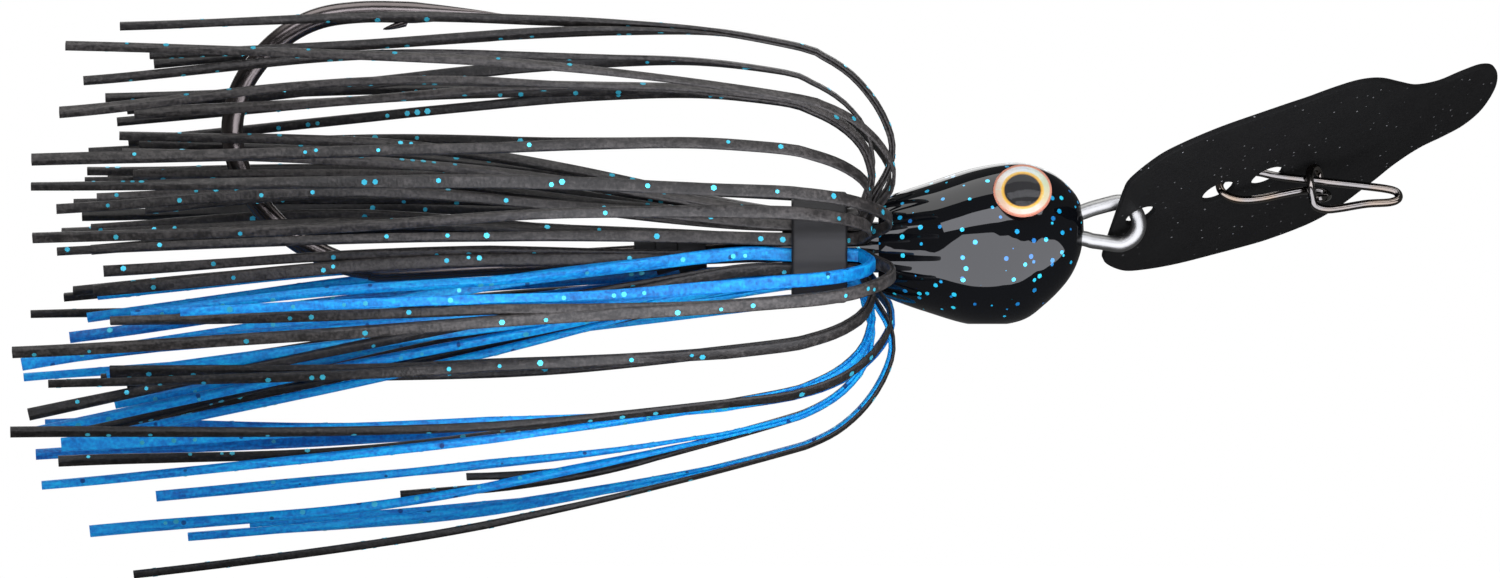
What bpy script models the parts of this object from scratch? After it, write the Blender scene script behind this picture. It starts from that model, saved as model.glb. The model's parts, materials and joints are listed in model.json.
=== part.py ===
"""A bladed swim jig: a cast lead head on a single hook, a bent blade that swings on a wire loop in the
nose, a double-ended clasp through the blade as the line tie, and a skirt of silicone strands held by a
rubber collar.

+X runs from the hook's bend to the blade, +Z up, and the origin is the centre of the flat under the head.
Sizes are in millimetres, and MM turns them into metres where an object is made.
"""

import math

import bmesh
import bpy
import numpy as np
from mathutils import Matrix, Vector
from mathutils.kdtree import KDTree

MM = 0.001
NAME = "bladed_swim_jig"

# Driving dimensions
SHANK_Z = 5.9  # height of the hook's shank, the axis that the head, collar and skirt share
HOOK_WIRE = 1.7  # wire diameters
LOOP_WIRE = 1.25
CLASP_WIRE = 0.66
BLADE_THICK = 0.5
STRAND_WIDE, STRAND_THICK = 1.0, 0.5
FIT_GAP = 0.04  # clearance between cast-in or nested pieces
SLIDE_GAP = 0.05

# Head: upper and lower outline points (x, z) and half width, from the rear face to the nose
HEAD_SECTIONS = (
    ((-8.2, 9.2), (-8.2, 2.5), 3.3),
    ((-7.5, 9.8), (-7.5, 2.0), 3.7),
    ((-4.6, 10.8), (-4.6, 0.95), 4.4),
    ((-0.8, 12.0), (-0.8, -0.08), 5.0),
    ((2.6, 12.4), (2.6, 0.2), 5.1),
    ((5.0, 11.7), (4.6, 1.5), 4.6),
    ((6.7, 10.3), (6.4, 3.4), 3.4),
    ((7.45, 8.9), (7.3, 5.3), 1.9),
)
HEAD_NOSE = (7.6, 7.2)
HEAD_ROUND = 32  # points round a section
KEEPER_R = 1.95  # the lead tail under the skirt collar
KEEPER_END_X = -15.6

# Eyes
EYE_X, EYE_Y, EYE_Z = 2.85, 3.62, 10.3
EYE_TILT = 28  # degrees that an eye faces up
EYE_R = 2.25
FOIL_THICK = 0.2
LENS_HIGH = 0.75
SOCKET_DEEP = 0.3

# Hook, in the XZ plane: its eye, the straight length behind the head, the bend's guide points, and the barb
HOOK_EYE_X, HOOK_EYE_R = 0.6, 1.75
SHANK_FROM, SHANK_TO = (-16.5, 5.85), (-44.0, 4.2)
HOOK_BEND = (
    (-47.0, 4.25), (-49.6, 4.75), (-53.2, 6.6), (-56.0, 9.4), (-57.5, 12.4),
    (-57.9, 15.4), (-57.0, 18.6), (-54.6, 21.6), (-51.6, 23.4), (-48.0, 24.0), (-43.2, 23.95), (-37.0, 23.8),
)
POINT_LENGTH = 7.0  # over which the hook's point tapers
BARB_FROM, BARB_TO = (-44.3, 23.35), (-46.3, 22.55)
BARB_R = 0.42

# Nose loop, in the XZ plane: a bow in front of the nose and two legs cast into the head
LOOP_X, LOOP_Z, LOOP_R = 10.2, 7.75, 1.63
LOOP_LEGS = 1.65  # spacing of the legs at the nose

# Blade: its place, its two axes, and half its outline from the tail to the nose as (along, across)
WIRE_ANGLE = 24  # degrees round the bow where the blade hangs
HOLE_AHEAD = 0.2  # how far the hole's centre lies outside the wire's
BLADE_ALONG = Vector((0.903, 0.331, 0.274)).normalized()
BLADE_ACROSS_HINT = Vector((0.16, -0.85, 0.50))
BLADE_HALF = (
    (-2.2, 4.2), (-1.9, 6.1), (0.0, 8.4), (2.0, 9.4), (5.0, 10.15), (8.5, 10.5), (12.0, 10.75), (15.0, 10.8),
    (17.2, 10.5), (19.2, 9.5), (21.4, 7.5), (23.2, 5.9), (25.4, 4.9), (27.6, 4.75), (29.5, 4.35), (30.9, 2.9),
)
BLADE_NOSE = 31.5
TIP_HOLE_R = 1.22
CLASP_HOLE_R = 1.35
CLASP_HOLES = (6.7, 10.9)
BENDS = ((12.5, 3.0), (22.0, 4.5))  # where along the blade it bends, and by how many degrees
BEND_LONG = 1.0

CLASP_PIVOT = 9.1  # how far along the blade the axis lies that the clasp turns about
CLASP_STEP = 0.24  # fine enough for a facet square to the line inside the end bend

# Clasp wire in the blade's own directions: along the blade, across it, and out of its lower side
CLASP_PATH = (
    (13.45, 0.95, 3.65), (14.1, 0.6, 3.6), (14.75, -0.1, 3.2), (14.75, -0.45, 2.65), (14.1, -0.4, 2.3),
    (13.0, -0.1, 2.12), (11.4, 0.0, 1.98), (9.6, 0.0, 1.8), (8.2, 0.0, 1.45), (7.3, 0.0, 0.85),
    (6.95, 0.0, 0.1), (7.2, 0.0, -0.55), (8.1, 0.0, -0.95), (9.2, 0.0, -0.9), (10.4, 0.0, -0.42),
    (11.9, 0.0, 0.5), (15.0, 0.0, 2.0), (17.4, 0.0, 3.15), (19.3, 0.0, 4.1), (20.0, 0.0, 4.65),
    (19.9, 0.0, 5.2), (19.1, 0.0, 5.3), (17.3, 0.0, 4.85), (15.2, 0.0, 4.55), (14.1, 0.0, 4.3),
    (13.4, 0.1, 3.8), (13.38, 0.45, 3.1), (13.5, 0.75, 2.35), (13.75, 0.82, 1.55), (14.2, 0.6, 0.95),
    (14.8, 0.1, 0.68), (15.1, -0.5, 0.95), (15.05, -0.85, 1.75),
)

# Skirt collar on the shank's axis, and the trailer keeper further along the shank
COLLAR_X = (-14.9, -10.6)
COLLAR_R = (3.38, 4.35)
SLEEVE_X, SLEEVE_LONG = -24.2, 5.5
SLEEVE_R = (0.92, 1.25)
SLEEVE_BARB_R = 1.6
SLEEVE_BARB_STEP = 1.7

# Skirt. Strands sit in two rings in the collar. The front half of each folds back over the collar, and
# these are the folds' guide points (x, distance from the axis). The outer ring's fold lies inside the
# inner ring's.
RINGS = (
    {
        "count": 12,
        "radius": 2.38,
        "flare": 0.5,
        "fold": ((-9.7, 2.38), (-9.15, 2.55), (-8.85, 3.15), (-8.65, 4.0), (-8.0, 5.1), (-7.35, 6.4),
                 (-7.15, 8.1), (-7.9, 10.5), (-9.7, 13.1), (-12.5, 15.2), (-17.0, 16.7)),
    },
    {
        "count": 16,
        "radius": 3.0,
        "flare": 1.2,
        "fold": ((-10.1, 3.02), (-9.65, 3.2), (-9.4, 3.7), (-9.25, 4.4), (-8.95, 5.4), (-8.7, 6.7),
                 (-8.9, 8.2), (-9.8, 10.0), (-11.6, 11.8), (-14.5, 13.3), (-18.5, 14.3)),
    },
)
# For each strand, going up and round from the -Y side: front tip, rear tip as (x, y, z), and its colour
BLACK, BLUE = "skirt_black", "skirt_blue"
INNER_RING_TIPS = (
    ((-73.7, -15.0, 10.5), (-68.5, -6.5, 6.8), BLACK),
    ((-71.2, -11.0, 20.8), (-69.0, -3.6, 9.3), BLACK),
    ((-67.2, -3.5, 22.9), (-70.0, -1.9, 11.4), BLACK),
    ((-64.8, 3.5, 19.9), (-66.0, 2.0, 11.0), BLACK),
    ((-68.7, 11.0, 17.6), (-71.0, 4.6, 9.2), BLACK),
    ((-68.1, 15.0, 10.7), (-72.0, 6.4, 6.6), BLACK),
    ((-75.2, 15.0, -4.3), (-70.0, 6.0, 0.6), BLUE),
    ((-74.2, 13.0, -10.6), (-72.0, 4.2, -3.2), BLUE),
    ((-62.2, 4.5, -16.6), (-66.0, 2.0, -6.5), BLUE),
    ((-66.2, -4.0, -18.9), (-69.6, -2.5, -8.0), BLACK),
    ((-75.4, -14.0, -8.3), (-68.0, -5.0, -4.8), BLACK),
    ((-75.2, -16.0, -1.8), (-69.2, -6.4, 2.6), BLACK),
)
OUTER_RING_TIPS = (
    ((-73.7, -13.0, 6.5), (-71.9, -10.0, 5.6), BLACK),
    ((-73.8, -12.0, 12.6), (-72.0, -8.4, 8.8), BLACK),
    ((-71.8, -8.0, 16.7), (-67.0, -5.5, 12.8), BLACK),
    ((-70.0, -3.5, 19.0), (-67.3, -2.6, 14.4), BLACK),
    ((-66.9, 3.0, 17.0), (-65.9, 2.4, 13.7), BLACK),
    ((-67.8, 8.0, 15.8), (-70.0, 6.0, 12.2), BLACK),
    ((-70.0, 12.0, 12.8), (-69.0, 8.5, 9.2), BLACK),
    ((-70.6, 13.0, 8.8), (-69.8, 9.8, 5.4), BLACK),
    ((-74.6, 13.0, 0.6), (-71.9, 9.5, 2.5), BLACK),
    ((-69.1, 12.0, -4.8), (-65.2, 8.0, -4.9), BLACK),
    ((-72.3, 9.0, -11.2), (-71.3, 6.5, -9.2), BLACK),
    ((-45.8, 1.5, -12.8), (-71.2, 3.5, -8.4), BLACK),
    ((-69.6, -3.5, -16.0), (-69.2, -2.8, -9.2), BLUE),
    ((-73.1, -9.0, -12.0), (-73.5, -6.5, -8.8), BLUE),
    ((-72.5, -12.0, -4.7), (-74.1, -8.8, -7.5), BLACK),
    ((-66.3, -15.0, -2.0), (-74.6, -9.5, -3.6), BLUE),
)
STRAND_CLEAR = 1.3  # distance kept between the centre lines of free strands
HOOK_CLEAR = 1.6
SETTLE_ROUNDS = 150

# Colours as (red, green, blue), roughness, metallic
FINISHES = {
    "lead_black": ((0.008, 0.009, 0.012), 0.08, 0.0),
    "hook_nickel": ((0.07, 0.07, 0.075), 0.22, 1.0),
    "wire_steel": ((0.62, 0.62, 0.63), 0.38, 1.0),
    "blade_black": ((0.012, 0.012, 0.013), 0.42, 0.3),
    "clasp_nickel": ((0.16, 0.14, 0.13), 0.15, 1.0),
    "collar_rubber": ((0.014, 0.014, 0.017), 0.45, 0.0),
    "sleeve_black": ((0.02, 0.02, 0.022), 0.5, 0.0),
    "eye_foil": ((0.75, 0.72, 0.62), 0.25, 0.6),
    "eye_lens": ((0.9, 0.92, 0.95), 0.04, 0.0),
    "skirt_black": ((0.016, 0.016, 0.018), 0.5, 0.0),
    "skirt_blue": ((0.01, 0.16, 0.72), 0.4, 0.0),
}


# Helpers


def finish(name):
    """The Principled material of this name, made on first use."""
    material = bpy.data.materials.get(name)
    if material is None:
        colour, roughness, metallic = FINISHES[name]
        material = bpy.data.materials.new(name)
        material.use_nodes = True
        shader = material.node_tree.nodes["Principled BSDF"]
        shader.inputs["Base Color"].default_value = (*colour, 1.0)
        shader.inputs["Roughness"].default_value = roughness
        shader.inputs["Metallic"].default_value = metallic
        if name == "eye_lens":
            shader.inputs["Transmission Weight"].default_value = 1.0
    return material


def place(name, mesh, material, collection):
    obj = bpy.data.objects.new(name, mesh)
    collection.objects.link(obj)
    if material:
        mesh.materials.clear()
        mesh.materials.append(finish(material))
    else:
        obj.hide_render = True
        obj.display_type = "WIRE"
    mesh.shade_smooth()
    mesh.set_sharp_from_angle(angle=math.radians(40))
    return obj


def mesh_of(bm, name):
    """The bmesh as a mesh in metres, with its faces turned outwards."""
    bmesh.ops.recalc_face_normals(bm, faces=bm.faces)
    bmesh.ops.scale(bm, vec=(MM, MM, MM), verts=bm.verts)
    mesh = bpy.data.meshes.new(name)
    bm.to_mesh(mesh)
    bm.free()
    return mesh


def lofted(rings, front=None):
    """A closed skin over rings of equal length. The last one closes on the point front, if given, or flat."""
    bm = bmesh.new()
    rows = [[bm.verts.new(point) for point in ring] for ring in rings]
    around = len(rows[0])
    for near, far in zip(rows, rows[1:]):
        for i in range(around):
            j = (i + 1) % around
            bm.faces.new((near[i], near[j], far[j], far[i]))
    bm.faces.new(rows[0])
    if front is None:
        bm.faces.new(rows[-1])
    else:
        tip = bm.verts.new(front)
        for i in range(around):
            bm.faces.new((rows[-1][i], rows[-1][(i + 1) % around], tip))
    return bm


def smooth_path(points, step):
    """Points about a step apart along a Catmull-Rom curve through the given ones."""
    points = [Vector(p) for p in points]
    ends = [2 * points[0] - points[1], *points, 2 * points[-1] - points[-2]]
    path = []
    for before, a, b, after in zip(ends, ends[1:], ends[2:], ends[3:]):
        spans = max(1, round((b - a).length / step))
        for i in range(spans):
            t = i / spans
            pull = -before + 3 * a - 3 * b + after
            bow = 2 * before - 5 * a + 4 * b - after
            path.append(0.5 * (2 * a + (b - before) * t + bow * t * t + pull * t**3))
    path.append(points[-1])
    return path


def wire_mesh(name, path, radius, resolution=2, taper=None):
    """A round wire along the path, as a closed mesh in metres. taper holds a radius factor for each point."""
    curve = bpy.data.curves.new(name, "CURVE")
    curve.dimensions = "3D"
    curve.bevel_depth = radius * MM
    curve.bevel_resolution = resolution
    curve.use_fill_caps = True
    spline = curve.splines.new("POLY")
    spline.points.add(len(path) - 1)
    for i, point in enumerate(path):
        spline.points[i].co = (*(Vector(point) * MM), 1.0)
        spline.points[i].radius = taper[i] if taper else 1.0
    return meshed(name, curve)


def meshed(name, curve):
    """The curve as a mesh whose caps are welded on, in the place of the curve."""
    guide = bpy.data.objects.new(name + "_guide", curve)
    bpy.context.scene.collection.objects.link(guide)
    bpy.context.view_layer.update()
    mesh = bpy.data.meshes.new_from_object(guide.evaluated_get(bpy.context.evaluated_depsgraph_get()))
    mesh.name = name
    bpy.data.objects.remove(guide)
    bpy.data.curves.remove(curve)
    bm = bmesh.new()
    bm.from_mesh(mesh)
    bmesh.ops.remove_doubles(bm, verts=bm.verts, dist=1e-7)
    bmesh.ops.recalc_face_normals(bm, faces=bm.faces)
    bm.to_mesh(mesh)
    bm.free()
    return mesh


def boolean(obj, other, operation):
    modifier = obj.modifiers.new(operation.lower() + "_" + other.name, "BOOLEAN")
    modifier.operation = operation
    modifier.object = other


def turned(name, profile, segments, material, collection):
    """A ring turned about the shank's axis from a closed profile of (x, radius)."""
    bm = bmesh.new()
    corners = [bm.verts.new((radius * MM, 0, x * MM)) for x, radius in profile]
    for a, b in zip(corners, corners[1:] + corners[:1]):
        bm.edges.new((a, b))
    mesh = bpy.data.meshes.new(name)
    bm.to_mesh(mesh)
    bm.free()
    obj = place(name, mesh, material, collection)
    screw = obj.modifiers.new("turn", "SCREW")
    screw.steps = screw.render_steps = segments
    screw.use_merge_vertices = True
    screw.merge_threshold = 1e-6
    screw.use_smooth_shade = True
    obj.rotation_euler = (0, math.radians(90), 0)
    obj.location = (0, 0, SHANK_Z * MM)
    return obj


# Head


def head_rings(grow=0.0):
    """Elliptical sections between the head's upper and lower outlines."""
    upper = smooth_path([(x, 0, z) for (x, z), _, _ in HEAD_SECTIONS], 0.75)
    lower = smooth_path([(x, 0, z) for _, (x, z), _ in HEAD_SECTIONS], 0.75)
    wide = smooth_path([(i, 0, half) for i, (_, _, half) in enumerate(HEAD_SECTIONS)], 0.1)
    count = 22
    rings = []
    for k in range(count):
        share = 1 - (1 - k / (count - 1)) ** 1.25
        top = upper[round(share * (len(upper) - 1))]
        low = lower[round(share * (len(lower) - 1))]
        half = wide[round(share * (len(wide) - 1))].z + grow
        middle, up = (top + low) / 2, (top - low) / 2
        turns = [2 * math.pi * i / HEAD_ROUND for i in range(HEAD_ROUND)]
        rings.append([middle + up * math.sin(a) + Vector((0, half, 0)) * math.cos(a) for a in turns])
    return rings


def eye_frame(side):
    """Where an eye's disc sits: its Z axis points out of the head on the side (-1 or 1) of the XZ plane."""
    tilt = math.radians(90 - EYE_TILT)
    turn = Matrix.Rotation(-side * tilt, 4, "X")
    return Matrix.Translation(Vector((EYE_X, side * EYE_Y, EYE_Z)) * MM) @ turn


def disc(name, radius, low, high, segments=32):
    """A cylinder between two heights on its own axis."""
    bm = bmesh.new()
    bmesh.ops.create_cone(
        bm, cap_ends=True, segments=segments, radius1=radius, radius2=radius, depth=high - low,
        matrix=Matrix.Translation((0, 0, (low + high) / 2)),
    )
    return mesh_of(bm, name)


def dome(name, radius, low, high, segments=28, rows=6):
    """A cap of a sphere on a flat underside."""
    sphere = (radius**2 + (high - low) ** 2) / (2 * (high - low))
    edge = math.asin(radius / sphere)
    rings = []
    for row in range(rows):
        angle = edge * (1 - row / rows)
        z = high - sphere * (1 - math.cos(angle))
        ring = [(sphere * math.sin(angle) * math.cos(a), sphere * math.sin(angle) * math.sin(a), z)
                for a in (2 * math.pi * i / segments for i in range(segments))]
        rings.append(ring)
    return mesh_of(lofted(rings, front=(0, 0, high)), name)


def make_head(parts, cutters):
    head = place("head", mesh_of(lofted(head_rings(), front=(HEAD_NOSE[0], 0, HEAD_NOSE[1])), "head"),
                 "lead_black", parts)
    tail = disc("tail", KEEPER_R, KEEPER_END_X, -7.0, 24)
    keeper = place("keeper_tail", tail, None, cutters)
    keeper.rotation_euler = (0, math.radians(90), 0)
    keeper.location = (0, 0, SHANK_Z * MM)
    boolean(head, keeper, "UNION")
    flat = bmesh.new()
    bmesh.ops.create_cube(flat, size=20, matrix=Matrix.Translation((0, 0, -10)))
    boolean(head, place("belly_cut", mesh_of(flat, "belly_cut"), None, cutters), "DIFFERENCE")
    hook_room = wire_mesh("hook_room", hook_path(end_deg=3), HOOK_WIRE / 2 + FIT_GAP, 3)
    boolean(head, place("hook_room", hook_room, None, cutters), "DIFFERENCE")
    loop_room = wire_mesh("loop_room", loop_path(extra=0.05), LOOP_WIRE / 2 + FIT_GAP, 2)
    boolean(head, place("loop_room", loop_room, None, cutters), "DIFFERENCE")
    for side, word in ((-1, "right"), (1, "left")):
        room = disc(word + "_socket", EYE_R + SLIDE_GAP, -SOCKET_DEEP, 4)
        socket = place(word + "_socket", room, None, cutters)
        socket.matrix_world = eye_frame(side)
        boolean(head, socket, "DIFFERENCE")
        foil_top = -SOCKET_DEEP + FIT_GAP + FOIL_THICK
        foil = place(word + "_eye_foil", disc(word + "_eye_foil", EYE_R, foil_top - FOIL_THICK, foil_top),
                     "eye_foil", parts)
        lens_low = foil_top + FIT_GAP
        resin = dome(word + "_eye_lens", EYE_R - 0.02, lens_low, lens_low + LENS_HIGH)
        lens = place(word + "_eye_lens", resin, "eye_lens", parts)
        foil.matrix_world = lens.matrix_world = eye_frame(side)


# Hook and nose loop


def hook_path(end_deg=0.0):
    """From the end of the cast-in eye, round it, along the shank and round the bend to the point."""
    turns = [math.radians(155 + end_deg - step * (300 + end_deg) / 14) for step in range(15)]
    eye = [(HOOK_EYE_X + HOOK_EYE_R * math.cos(a), HOOK_EYE_R * math.sin(a), SHANK_Z) for a in turns]
    into_shank = smooth_path([*eye, (-2.7, -0.1, SHANK_Z), (-5.0, 0.0, SHANK_Z)], 0.9)
    tail = [Vector((x, 0.0, SHANK_Z)) for x in (KEEPER_END_X + 0.6, KEEPER_END_X)]
    bend = [(x, 0.0, z) for x, z in (SHANK_FROM, SHANK_TO, *HOOK_BEND)]
    return into_shank + tail + smooth_path(bend, 1.6)


def make_hook(parts, cutters):
    path = hook_path()
    left = [0.0]
    for a, b in zip(path[::-1], path[-2::-1]):
        left.append(left[-1] + (a - b).length)
    taper = [max(0.06, min(1.0, length / POINT_LENGTH) ** 0.8) for length in left[::-1]]
    hook = place("hook", wire_mesh("hook", path, HOOK_WIRE / 2, 3, taper), "hook_nickel", parts)
    start, end = Vector((BARB_FROM[0], 0, BARB_FROM[1])), Vector((BARB_TO[0], 0, BARB_TO[1]))
    along = end - start
    bm = bmesh.new()
    turn = along.to_track_quat("Z", "Y").to_matrix().to_4x4()
    bmesh.ops.create_cone(bm, cap_ends=True, segments=10, radius1=BARB_R, radius2=0.06, depth=along.length,
                          matrix=Matrix.Translation((start + end) / 2) @ turn)
    boolean(hook, place("barb", mesh_of(bm, "barb"), None, cutters), "UNION")


def loop_path(extra=0.0):
    """Up through the hook's eye, out of the nose, round the bow and back into the head above the eye."""
    inside_x = HOOK_EYE_X
    start = [(inside_x - 0.1, 0, 7.9 + extra), (inside_x, 0, 6.9), (inside_x, 0, 5.2),
             (inside_x + 0.5, 0, 4.25), (inside_x + 1.6, 0, 4.0), (inside_x + 3.6, 0, 4.7)]
    low = [(7.0, 0, LOOP_Z - LOOP_LEGS / 2 - 0.45), (8.4, 0, LOOP_Z - LOOP_LEGS / 2 - 0.55)]
    bow = [(LOOP_X + LOOP_R * math.cos(a), 0, LOOP_Z + LOOP_R * math.sin(a))
           for a in (math.radians(-90 + 15 * step) for step in range(13))]
    high = [(8.4, 0, LOOP_Z + LOOP_LEGS / 2 + 0.35), (7.0, 0, LOOP_Z + LOOP_LEGS / 2 - 0.1),
            (5.2, 0, LOOP_Z + 0.55), (3.0 - extra, 0, LOOP_Z + 0.5)]
    return smooth_path(start + low + bow + high, 0.5)


# Blade and clasp


def on_bow(radius):
    """The point at a distance from the bow's centre, in the direction in which the blade hangs."""
    angle = math.radians(WIRE_ANGLE)
    return Vector((LOOP_X + radius * math.cos(angle), 0, LOOP_Z + radius * math.sin(angle)))


def blade_frame():
    """The blade's own axes at the centre of its front hole: along, across, and out of its lower side."""
    along = BLADE_ALONG
    out = along.cross(BLADE_ACROSS_HINT).normalized()
    across = out.cross(along)
    frame = Matrix((along, across, out)).transposed().to_4x4()
    frame.translation = on_bow(LOOP_R + HOLE_AHEAD) * MM
    return frame


def hang(obj, name, centre, axis, carrier, collection):
    """Parent the object to an empty that lies on its joint's axis, with the empty's Z axis along it."""
    pivot = bpy.data.objects.new(name, None)
    pivot.empty_display_size = 4 * MM
    collection.objects.link(pivot)
    pivot.matrix_world = Matrix.Translation(centre) @ axis.to_track_quat("Z", "Y").to_matrix().to_4x4()
    bpy.context.view_layer.update()
    for child, parent in ((pivot, carrier), (obj, pivot)):
        if parent:
            child.parent = parent
            child.matrix_parent_inverse = parent.matrix_world.inverted()


def make_blade(parts):
    curve = bpy.data.curves.new("blade", "CURVE")
    curve.dimensions = "2D"
    curve.fill_mode = "BOTH"
    curve.extrude = BLADE_THICK / 2 * MM
    half = [(x, y, 0) for x, y in BLADE_HALF] + [(BLADE_NOSE, 0.0, 0)]
    side = smooth_path(half, 1.5)
    outline = [(p.x, p.y) for p in side] + [(p.x, -p.y) for p in side[-2::-1]]
    add_loop(curve, outline)
    for centre, radius in ((0.0, TIP_HOLE_R), *((x, CLASP_HOLE_R) for x in CLASP_HOLES)):
        turns = [2 * math.pi * i / 20 for i in range(20)]
        add_loop(curve, [(centre + radius * math.cos(a), radius * math.sin(a)) for a in turns])
    mesh = meshed("blade", curve)
    bm = bmesh.new()
    bm.from_mesh(mesh)
    for at, _ in BENDS:
        for cut in (at - BEND_LONG / 2, at, at + BEND_LONG / 2):
            geometry = [*bm.verts, *bm.edges, *bm.faces]
            bmesh.ops.bisect_plane(bm, geom=geometry, plane_co=(cut * MM, 0, 0), plane_no=(1, 0, 0))
    for vert in bm.verts:
        for at, degrees in reversed(BENDS):
            vert.co = bent(vert.co / MM, at, math.radians(degrees)) * MM
    bmesh.ops.triangulate(bm, faces=bm.faces)
    bmesh.ops.recalc_face_normals(bm, faces=bm.faces)
    bm.to_mesh(mesh)
    bm.free()
    blade = place("blade", mesh, "blade_black", parts)
    blade.matrix_world = blade_frame()
    along_wire = on_bow(1.0) - on_bow(0.0)
    along_wire.rotate(Matrix.Rotation(math.radians(-90), 3, "Y"))
    hang(blade, "blade_pivot", on_bow(LOOP_R) * MM, along_wire, None, parts)
    return blade


def add_loop(curve, points):
    spline = curve.splines.new("POLY")
    spline.points.add(len(points) - 1)
    for i, (x, y) in enumerate(points):
        spline.points[i].co = (x * MM, y * MM, 0, 1)
    spline.use_cyclic_u = True


def bent(point, at, angle):
    """The point of the flat blade after what lies past a place is bent away from the lower side."""
    start = at - BEND_LONG / 2
    past = point.x - start
    if past <= 0:
        return point
    radius = BEND_LONG / angle
    turn = min(past / radius, angle)
    on_arc = Vector((start + radius * math.sin(turn), point.y, -radius * (1 - math.cos(turn))))
    beyond = past - turn * radius
    ahead = Vector((math.cos(turn), 0, -math.sin(turn)))
    outward = Vector((math.sin(turn), 0, math.cos(turn)))
    return on_arc + beyond * ahead + point.z * outward


def make_clasp(parts, blade):
    path = smooth_path(CLASP_PATH, CLASP_STEP)
    clasp = place("line_clasp", wire_mesh("line_clasp", path, CLASP_WIRE / 2, 2), "clasp_nickel", parts)
    clasp.matrix_world = blade_frame()
    across = blade_frame().col[1].to_3d()
    hang(clasp, "clasp_pivot", blade_frame() @ Vector((CLASP_PIVOT * MM, 0, 0)), across, blade, parts)


# Skirt


def radial(azimuth):
    """The direction from the axis at an angle that goes up from the -Y side."""
    return Vector((0, -math.cos(azimuth), math.sin(azimuth)))


def strand_plan():
    """Each strand's ring, azimuth, front tip, rear tip and colour."""
    for ring, tips in zip(RINGS, (INNER_RING_TIPS, OUTER_RING_TIPS)):
        pitch = 2 * math.pi / ring["count"]
        for i, (front, rear, colour) in enumerate(tips):
            yield ring, (i + 0.5) * pitch, Vector(front), Vector(rear), colour


def strand_path(ring, azimuth, front, rear):
    """The centre line from the rear tip through the collar, forwards, and back over it to the front tip."""
    axis = Vector((0, 0, SHANK_Z))
    out = radial(azimuth)
    in_collar = [axis + Vector((x, 0, 0)) + out * ring["radius"] for x in COLLAR_X]
    tail = [in_collar[0] + Vector((-1.2, 0, 0)) + out * 0.05,
            in_collar[0] + Vector((-3.2, 0, 0)) + out * 0.3 * ring["flare"],
            in_collar[0] + Vector((-7.0, 0, 0)) + out * ring["flare"]]
    rear_middle = tail[-1].lerp(rear, 0.5) + out * 0.9 + Vector((0, 0, 0.6))
    fold = [axis + Vector((x, 0, 0)) + out * r for x, r in ring["fold"]]
    shoulder = fold[-1]
    bowed = [shoulder.lerp(front, share) + rise * out
             for share, rise in ((0.1, 0.45), (0.27, 0.95), (0.55, 1.0))]
    return smooth_path([rear, rear_middle, *tail[::-1], *in_collar, *fold, *bowed, front], 1.0)


def freedom(path):
    """How far each point may shift: not at all in the collar and the folds, fully along the free lengths."""
    reach = []
    for point in path:
        away = (point - Vector((point.x, 0, SHANK_Z))).length
        behind = COLLAR_X[0] - point.x
        reach.append(max(0.0, min(1.0, max((behind - 1.5) / 14 if away < 8 else 0.0, (away - 7) / 5))))
    return np.array(reach)


def settled(paths):
    """The paths with free strands moved gently apart, and clear of the hook."""
    lines = [np.array([tuple(p) for p in path]) for path in paths]
    loose = [freedom(path) for path in paths]
    owner = np.concatenate([[i] * len(line) for i, line in enumerate(lines)])
    free = np.concatenate(loose)
    hook = [p for p in hook_path() if p.x < KEEPER_END_X]
    for _ in range(SETTLE_ROUNDS):
        points = np.concatenate(lines)
        tree = KDTree(len(points) + len(hook))
        for i, point in enumerate(points):
            tree.insert(point, i)
        for i, point in enumerate(hook):
            tree.insert(point, len(points) + i)
        tree.balance()
        push = np.zeros_like(points)
        for i, point in enumerate(points):
            for near, j, gap in tree.find_range(point, HOOK_CLEAR):
                is_strand = j < len(points)
                if is_strand and owner[j] == owner[i]:
                    continue
                wanted, share = HOOK_CLEAR, 0.5
                if is_strand:
                    wanted, share = STRAND_CLEAR * (0.62 + 0.38 * min(free[i], free[j])), 0.25
                if 1e-6 < gap < wanted:
                    push[i] += (point - np.array(near)) / gap * (wanted - gap) * share
        start = 0
        for line, reach in zip(lines, loose):
            shift = push[start:start + len(line)]
            start += len(line)
            for _ in range(4):
                shift[1:-1] = (shift[:-2] + 2 * shift[1:-1] + shift[2:]) / 4
            line += shift * reach[:, None]
    return [[Vector(point) for point in line] for line in lines]


def kept_places(path):
    """The points that become sections: close together in the fold, wide apart along the free lengths."""
    spans = [0.0]
    for a, b in zip(path, path[1:]):
        spans.append(spans[-1] + (b - a).length)
    kept = [0]
    for i in range(1, len(path) - 1):
        point = path[i]
        away = (point - Vector((point.x, 0, SHANK_Z))).length
        step = 6.5 if point.x < -16 else 0.95 if point.x > COLLAR_X[1] and away < 8 else 1.6
        if COLLAR_X[0] - 0.1 < point.x < COLLAR_X[1] + 0.1 and away < 4:
            step = 2.1
        if spans[i] - spans[kept[-1]] >= step and spans[-1] - spans[i] > 0.5 * step:
            kept.append(i)
    return [*kept, len(path) - 1]


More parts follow.
